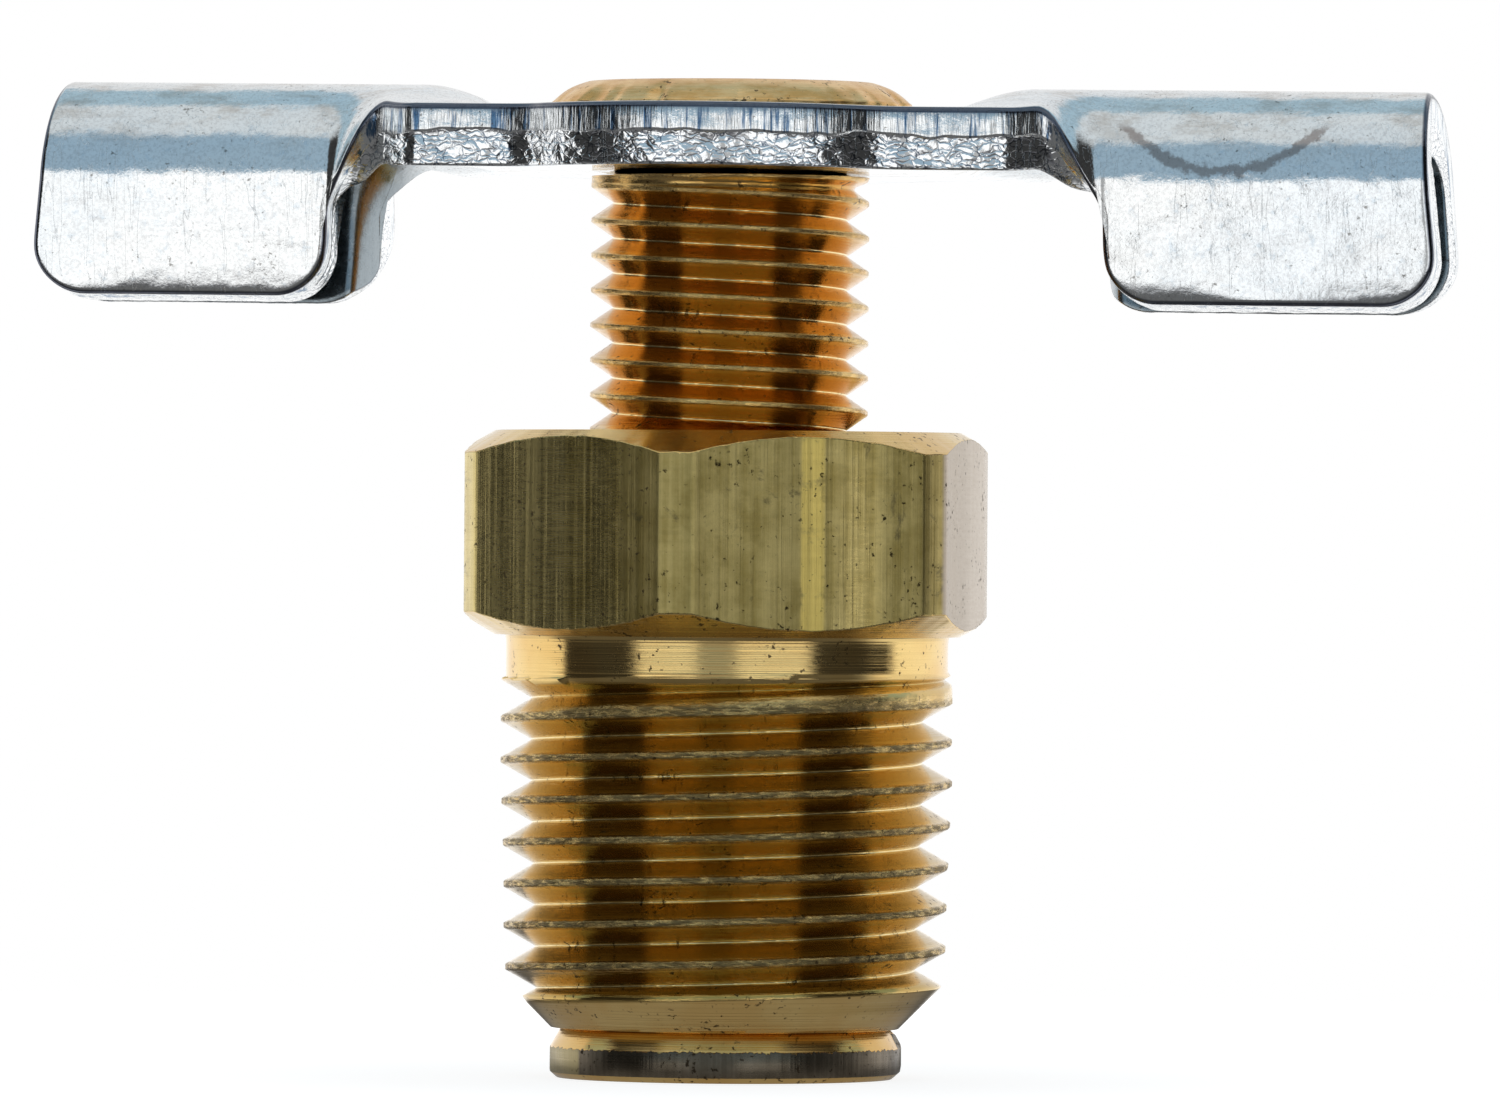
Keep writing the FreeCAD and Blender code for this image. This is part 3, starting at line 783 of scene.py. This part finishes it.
def face_grid(inset, height, turned_over):
    """Top or bottom face of the sheet, as a ring grid round the hole and a grid on each wing."""
    share = np.concatenate([-np.linspace(1, 0, ACROSS + 1), np.linspace(0, 1, ACROSS + 1)[1:]])
    for hand in ("right", "left"):
        front, back = inset_path(sides[hand + "_front"], inset), inset_path(sides[hand + "_back"], inset)
        middle = np.stack([np.linspace(front[0, 0], front[-1, 0], STATIONS), np.zeros(STATIONS)], -1)
        side = np.where(share[None, :, None] < 0, front[:, None, :], back[:, None, :])
        grid = middle[:, None, :] + (side - middle[:, None, :]) * np.abs(share)[None, :, None]
        triangles = grid_triangles(numbered(*grid.shape[:2]))
        keep(at_height(grid, height), triangles if (hand == "right") != turned_over else triangles[:, ::-1])
    border = np.stack([np.full(len(share), NECK_BORDER), (NECK_HALF - inset) * share], -1)
    back, front = inset_path(hub_arcs["back"], inset), inset_path(hub_arcs["front"], inset)
    ring = np.concatenate([border, back[1:], (border * [-1, -1])[1:], front[::-1][1:]])
    bearing = np.arctan2(ring[:, 1], ring[:, 0])
    hole = (HUB_HOLE + 0.05) * np.stack([np.cos(bearing), np.sin(bearing)], -1)
    steps = np.linspace(0, 1, 9)[:, None, None]
    grid = hole[None] + (ring - hole)[None] * steps
    triangles = grid_triangles(numbered(*grid.shape[:2]))
    keep(at_height(grid, height), triangles if not turned_over else triangles[:, ::-1])
    return hole


half_sheet = SHEET / 2
upper_rim = face_grid(EDGE_ROLL, half_sheet, False)
lower_rim = face_grid(0.06, -half_sheet, True)
hole_rows = np.array([half_sheet, half_sheet - 0.05, -half_sheet + 0.05, -half_sheet])
hole_scale = np.array([1, HUB_HOLE / (HUB_HOLE + 0.05), HUB_HOLE / (HUB_HOLE + 0.05), 1])
wall = np.concatenate([at_height(rim * size, height) for rim, size, height
                       in zip((upper_rim, upper_rim, lower_rim, lower_rim), hole_scale, hole_rows)])
keep(wall, grid_triangles(np.arange(len(wall)).reshape(len(hole_rows), -1))[:, ::-1])

# The cut edge: rolled over at the top, sheared smooth, then torn, with a slight burr at the bottom.
edge_x, edge_y = loop.T
level = 0 * edge_x
tear_line = 0.04 + 0.10 * grain(edge_x, edge_y, level, 1.3, 31) + 0.05 * grain(edge_x, edge_y, level, 0.4, 32)
slant = edge_slant(loop)
edge_rows = []
for part in np.linspace(0, 1, 8):
    sweep = part * math.pi / 2
    edge_rows.append((slant + EDGE_ROLL * (1 - math.sin(sweep)),
                      half_sheet - EDGE_ROLL * (1 - math.cos(sweep)) + level))
shear_top = half_sheet - EDGE_ROLL
for part in (0.4, 0.8, 0.97):
    edge_rows.append((slant * (1 - part / 2) + 0.004 * grain(edge_x, edge_y, level, 0.25, 33),
                      shear_top + (tear_line - shear_top) * part))
for part in np.linspace(0.03, 0.95, 9):
    depth = tear_line + (-half_sheet + 0.03 - tear_line) * part
    tear = 0.016 * grain(edge_x, edge_y, depth, 0.22, 34) + 0.010 * grain(edge_x, edge_y, depth, 0.11, 35)
    edge_rows.append((slant * (1 - part) / 2 + 0.012 + 0.02 * part + tear * min(1, 4 * part), depth))
edge_rows.append((0.035 + level, -half_sheet + 0.015 + level))
edge_rows.append((0.06 + level, -half_sheet + level))
strip = np.stack([np.concatenate([loop - inset[:, None] * loop_normals, height[:, None]], -1)
                  for inset, height in edge_rows])
strip_index = numbered(*strip.shape[:2])
strip_index = np.concatenate([strip_index, strip_index[:, :1]], axis=1)
keep(strip.reshape(-1, 3), grid_triangles(strip_index))

flat_points = np.concatenate(handle_points)
handle_shape = bent(flat_points)
tilt_x = np.array([[1, 0, 0], [0, math.cos(HANDLE_TILT), math.sin(HANDLE_TILT)],
                   [0, -math.sin(HANDLE_TILT), math.cos(HANDLE_TILT)]])
roll_y = np.array([[math.cos(HANDLE_ROLL), 0, math.sin(HANDLE_ROLL)], [0, 1, 0],
                   [-math.sin(HANDLE_ROLL), 0, math.cos(HANDLE_ROLL)]])
pivot = np.array([0, 0, PLATE_TOP - SHEET / 2])
handle_shape = (handle_shape - pivot) @ (tilt_x @ roll_y).T + pivot
edge_mask = np.zeros(len(flat_points))
edge_mask[-strip.shape[0] * strip.shape[1]:] = np.repeat(np.linspace(0, 1, strip.shape[0]), strip.shape[1])
handle = closed_mesh("handle_finish", handle_shape, np.concatenate(handle_triangles),
                     {"cut_edge": edge_mask, "across": flat_points[:, 1], "through": flat_points[:, 2]})
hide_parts("handle")
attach(handle, "handle")


zinc, tree, shader, place = metal_start("plated_steel")
axes = add(tree, "ShaderNodeSeparateXYZ", {"Vector": place}).outputs
cut_edge = attribute(tree, "cut_edge")
through = attribute(tree, "through")
across = maths(tree, "ABSOLUTE", attribute(tree, "across"))
cloud = noise(tree, scaled(tree, place, 0.16, 0.30, 0.30), 1.0, 3.0)
plate_colour = mix_colour(tree, remap(tree, cloud, 0.38, 0.62), (0.90, 0.95, 0.98, 1), (0.96, 0.98, 0.98, 1))
mottle = noise(tree, place, 4.5, 5.0, 0.65)
bluish = remap(tree, mottle, 0.55, 0.72, 0.0, 0.35)
plate_colour = mix_colour(tree, bluish, plate_colour, (0.50, 0.66, 0.80, 1))
grit = noise(tree, place, 13.0, 2.0, 0.7)
plate_colour = mix_colour(tree, remap(tree, grit, 0.42, 0.66, 0.0, 0.30), plate_colour, (0.46, 0.45, 0.46, 1))
smears = noise(tree, scaled(tree, place, 0.7, 1.6, 1.6), 1.0, 5.0, 0.7)
stain = times(tree, remap(tree, smears, 0.46, 0.66), remap(tree, across, 1.2, 2.0, 0.55, 0.06))
plate_colour = mix_colour(tree, stain, plate_colour, (0.52, 0.46, 0.40, 1))

# A rubbed arc on the front of the right wing: part of a circle in the flat sheet, brown and ragged.
aside = minus(tree, axes["X"], ARC_X)
beyond = minus(tree, attribute(tree, "across"), ARC_ACROSS)
ring = maths(tree, "SQRT", plus(tree, times(tree, aside, aside), times(tree, beyond, beyond)))
ring = plus(tree, ring, times(tree, minus(tree, mottle, 0.5), 0.35))
arc = remap(tree, maths(tree, "ABSOLUTE", minus(tree, ring, ARC_RADIUS)), 0.04, 0.12, 0.75, 0.0)
arc = times(tree, arc, remap(tree, attribute(tree, "across"), -1.45, -1.25, 1.0, 0.0))
plate_colour = mix_colour(tree, arc, plate_colour, (0.30, 0.25, 0.23, 1))
# Painted shade: the lower face of the sheet inside the folded wings is darkened to blue-grey; the same mask also
# roughens it.
inside_shade = times(tree, remap(tree, through, -0.69, -0.60, 1.0, 0.0),
               remap(tree, maths(tree, "ABSOLUTE", axes["X"]), 7.2, 8.4))
plate_colour = mix_colour(tree, times(tree, inside_shade, 0.85), plate_colour, (0.22, 0.27, 0.30, 1))
specks = use_group(tree, specks_group, {"Vector": place, "Size": 8.0, "Amount": 0.30})["Mask"]
scuff = use_group(tree, scratch_group, {"Vector": scaled(tree, place, 7.0, 7.0, 0.45), "Width": 0.008,
                                        "Cover": 0.46})["Mask"]
striae = noise(tree, scaled(tree, place, 5, 5, 0.25), 1.0, 4.0, 0.7)
sheared = remap(tree, cut_edge, 0.30, 0.36)
shear_colour = mix_colour(tree, remap(tree, striae, 0.37, 0.50), (0.10, 0.20, 0.34, 1), (0.94, 0.97, 0.98, 1))
torn = remap(tree, cut_edge, 0.45, 0.50)
wobble = add(tree, "ShaderNodeTexNoise", {"Vector": place, "Scale": 3.0}).outputs["Color"]
cell_place = add(tree, "ShaderNodeVectorMath", {0: wobble, 1: (0.35, 0.35, 0.35), 2: place},
                 operation="MULTIPLY_ADD").outputs["Vector"]
cells = add(tree, "ShaderNodeTexVoronoi", {"Vector": scaled(tree, cell_place, 3.2, 3.2, 7.5), "Scale": 1.0},
            feature="DISTANCE_TO_EDGE").outputs["Distance"]
torn_colour = mix_colour(tree, remap(tree, cells, 0.0, 0.05), (0.08, 0.12, 0.18, 1), (0.96, 0.98, 0.99, 1))
colour = mix_colour(tree, sheared, plate_colour, shear_colour)
colour = mix_colour(tree, torn, colour, torn_colour)
# Painted dark reflection: the rolled top edge and the burr along the bottom of the cut edge are painted nearly
# black.
outline = times(tree, remap(tree, cut_edge, 0.03, 0.12), remap(tree, cut_edge, 0.30, 0.36, 1.0, 0.0))
outline = maths(tree, "MAXIMUM", outline, remap(tree, cut_edge, 0.93, 0.98))
colour = mix_colour(tree, times(tree, outline, 0.9), colour, (0.05, 0.06, 0.10, 1))
colour = mix_colour(tree, times(tree, specks, 0.7), colour, (0.10, 0.085, 0.07, 1))
tree.links.new(colour, shader.inputs["Base Color"])
shader.inputs["Metallic"].default_value = 1.0
rough = remap(tree, mottle, 0.35, 0.70, 0.06, 0.14)
rough = plus(tree, rough, times(tree, maths(tree, "MAXIMUM", scuff, inside_shade), 0.15))
tree.links.new(rough, shader.inputs["Roughness"])
on_edge = times(tree, remap(tree, cut_edge, 0.20, 0.26), minus(tree, 1.0, torn))
ripple = noise(tree, scaled(tree, place, 0.5, 0.8, 0.8), 1.0, 2.0)
relief = plus(tree, times(tree, ripple, 4.0), times(tree, mottle, 0.55))
relief = plus(tree, relief, times(tree, times(tree, striae, on_edge), 3.0))
relief = plus(tree, relief, times(tree, times(tree, remap(tree, cells, 0.0, 0.25), torn), 0.4))
relief = minus(tree, relief, times(tree, scuff, 0.15))
bump = add(tree, "ShaderNodeBump", {"Height": relief, "Strength": 1.0, "Distance": RELIEF})
tree.links.new(bump.outputs["Normal"], shader.inputs["Normal"])
handle.data.materials.append(zinc)


# Light: a white studio with dark gaps. The surroundings are painted on the sky by direction only:
# a low band seen in upright surfaces, by bearing, and the upper part, by the angle over the top.
FRONT = math.radians(11)


def painted(tree, angle, stops):
    """Colour along an angle of -180..180 degrees, from pairs of angle and grey or colour."""
    share = add(tree, "ShaderNodeMapRange", {"Value": angle, "From Min": -math.pi, "From Max": math.pi})
    ramp = add(tree, "ShaderNodeValToRGB", {"Fac": share.outputs["Result"]})
    elements = ramp.color_ramp.elements
    elements.remove(elements[1])
    for place_in_row, (degrees, value) in enumerate(stops):
        element = elements.new((degrees + 180) / 360) if place_in_row else elements[0]
        element.color = (*value, 1) if isinstance(value, tuple) else (value, value, value, 1)
    return ramp.outputs["Color"]


world = bpy.data.worlds.new("studio")
bpy.context.scene.world = world
world.use_nodes = True
tree = world.node_tree
direction = add(tree, "ShaderNodeTexCoord").outputs["Generated"]
way = add(tree, "ShaderNodeSeparateXYZ", {"Vector": direction}).outputs
ahead = minus(tree, times(tree, way["X"], math.sin(FRONT)), times(tree, way["Y"], math.cos(FRONT)))
aside = plus(tree, times(tree, way["X"], math.cos(FRONT)), times(tree, way["Y"], math.sin(FRONT)))
bearing = maths(tree, "ARCTAN2", aside, ahead)
low_band = painted(tree, bearing, [(-180, 1.1), (-17, 1.1), (-15.5, 0.42), (4, 0.42), (6, 1.1), (180, 1.1)])
blue_grey, blue_band, pale = (0.29, 0.40, 0.49), (0.36, 0.49, 0.57), (0.64, 0.68, 0.70)
upper_part = painted(tree, maths(tree, "ARCTAN2", way["Z"], ahead), [
    (-180, 1.0), (-2, 1.0), (0, blue_grey), (51, blue_grey), (58, pale), (98, pale),
    (101, blue_band), (130, blue_band), (135, (0.72, 0.73, 0.74)), (180, 0.9)])
open_studio = mix_colour(tree, remap(tree, way["Z"], 0.085, 0.115), low_band, upper_part)
cards = painted(tree, bearing, [(-180, 0.0), (-95.5, 0.0), (-93, 1.0), (-49.5, 1.0), (-47, 0.0), (43, 0.0),
                                (45.5, 1.0), (95, 1.0), (97.5, 0.0), (180, 0.0)])
card_height = remap(tree, maths(tree, "ABSOLUTE", way["Z"]), 0.60, 0.80, 1.0, 0.0)
surroundings = mix_colour(tree, times(tree, cards, card_height), open_studio, (0.035, 0.035, 0.035, 1))
below = times(tree, remap(tree, way["Z"], -0.30, -0.15, 1.0, 0.0), remap(tree, ahead, 0.0, 0.4))
surroundings = mix_colour(tree, below, surroundings, (0.10, 0.10, 0.11, 1))
seen = add(tree, "ShaderNodeLightPath").outputs["Is Camera Ray"]
tree.links.new(mix_colour(tree, seen, surroundings, (1, 1, 1, 1)), tree.nodes["Background"].inputs["Color"])

# Floor: a plain white disc under the valve. It looks white, with a faint shadow where the valve stands.
FLOOR_RADIUS = 60.0
floor_angles = np.linspace(0, TURN, 97)
floor_r = np.array([0, 2, 4, 8, 16, 32, FLOOR_RADIUS, FLOOR_RADIUS, 0])[:, None] + 0 * floor_angles
floor_z = np.array([0, 0, 0, 0, 0, 0, 0, -0.4, -0.4])[:, None] + 0 * floor_angles
floor = turned_mesh("floor", floor_angles, floor_r[::-1], floor_z[::-1], np.zeros(9, int), False, {})
paper = bpy.data.materials.new("floor")
paper.use_nodes = True
tree = paper.node_tree
shader = tree.nodes["Principled BSDF"]
shader.inputs["Base Color"].default_value = (0.9, 0.9, 0.9, 1)
shader.inputs["Roughness"].default_value = 0.9
shader.inputs["Specular IOR Level"].default_value = 0.1
place = scaled(tree, add(tree, "ShaderNodeTexCoord").outputs["Object"], PER_MM, PER_MM, PER_MM)
away = add(tree, "ShaderNodeVectorMath", {0: place}, operation="LENGTH").outputs["Value"]
path = add(tree, "ShaderNodeLightPath").outputs
lit = add(tree, "ShaderNodeEmission", {"Color": (1, 1, 1, 1), "Strength": 1.3})
behind = add(tree, "ShaderNodeSeparateXYZ", {"Vector": place}).outputs["Y"]
# Painted shadow, seen only in reflections: the floor's glow is dim round the valve and in front of it, and
# brightens further off behind it.
painted_floor_shadow = plus(tree, remap(tree, away, 4.0, 9.0, 0.28, 0.12),
           times(tree, remap(tree, away, 9.0, 24.0, 0.0, 0.8), remap(tree, behind, -6.0, 4.0)))
near = add(tree, "ShaderNodeEmission", {"Strength": painted_floor_shadow})
keep_shade = remap(tree, away, 6.0, 40.0, 0.35, 0.0)
shown = add(tree, "ShaderNodeMixShader", {0: keep_shade, 1: lit.outputs[0], 2: shader.outputs[0]}).outputs[0]
direct = add(tree, "ShaderNodeMixShader",
             {0: path["Is Glossy Ray"], 1: shader.outputs[0], 2: near.outputs[0]}).outputs[0]
final = add(tree, "ShaderNodeMixShader", {0: path["Is Camera Ray"], 1: direct, 2: shown}).outputs[0]
tree.links.new(final, tree.nodes["Material Output"].inputs["Surface"])
floor.data.materials.append(paper)

# Camera: level with the hexagon's middle, eleven degrees round from the wings' front.
DISTANCE = 335.0
CAMERA_ROLL = math.radians(-0.42)
RIGHTWARD = 0.5
EYE_LEVEL = 12.54
FRAME_WIDTH = 34.13
FRAME_MIDDLE = 11.85
lens = bpy.data.cameras.new("camera")
lens.sensor_width = 36.0
lens.lens = lens.sensor_width * DISTANCE / FRAME_WIDTH
lens.shift_y = (FRAME_MIDDLE - EYE_LEVEL) / FRAME_WIDTH
lens.clip_start = 0.01
camera = bpy.data.objects.new("camera", lens)
bpy.context.scene.collection.objects.link(camera)
camera.location = ((math.sin(FRONT) * DISTANCE + math.cos(FRONT) * RIGHTWARD) * MM,
                   (-math.cos(FRONT) * DISTANCE + math.sin(FRONT) * RIGHTWARD) * MM, EYE_LEVEL * MM)
camera.rotation_euler = (math.pi / 2, CAMERA_ROLL, FRONT)
bpy.context.scene.camera = camera
bpy.context.scene.view_settings.view_transform = "Standard"
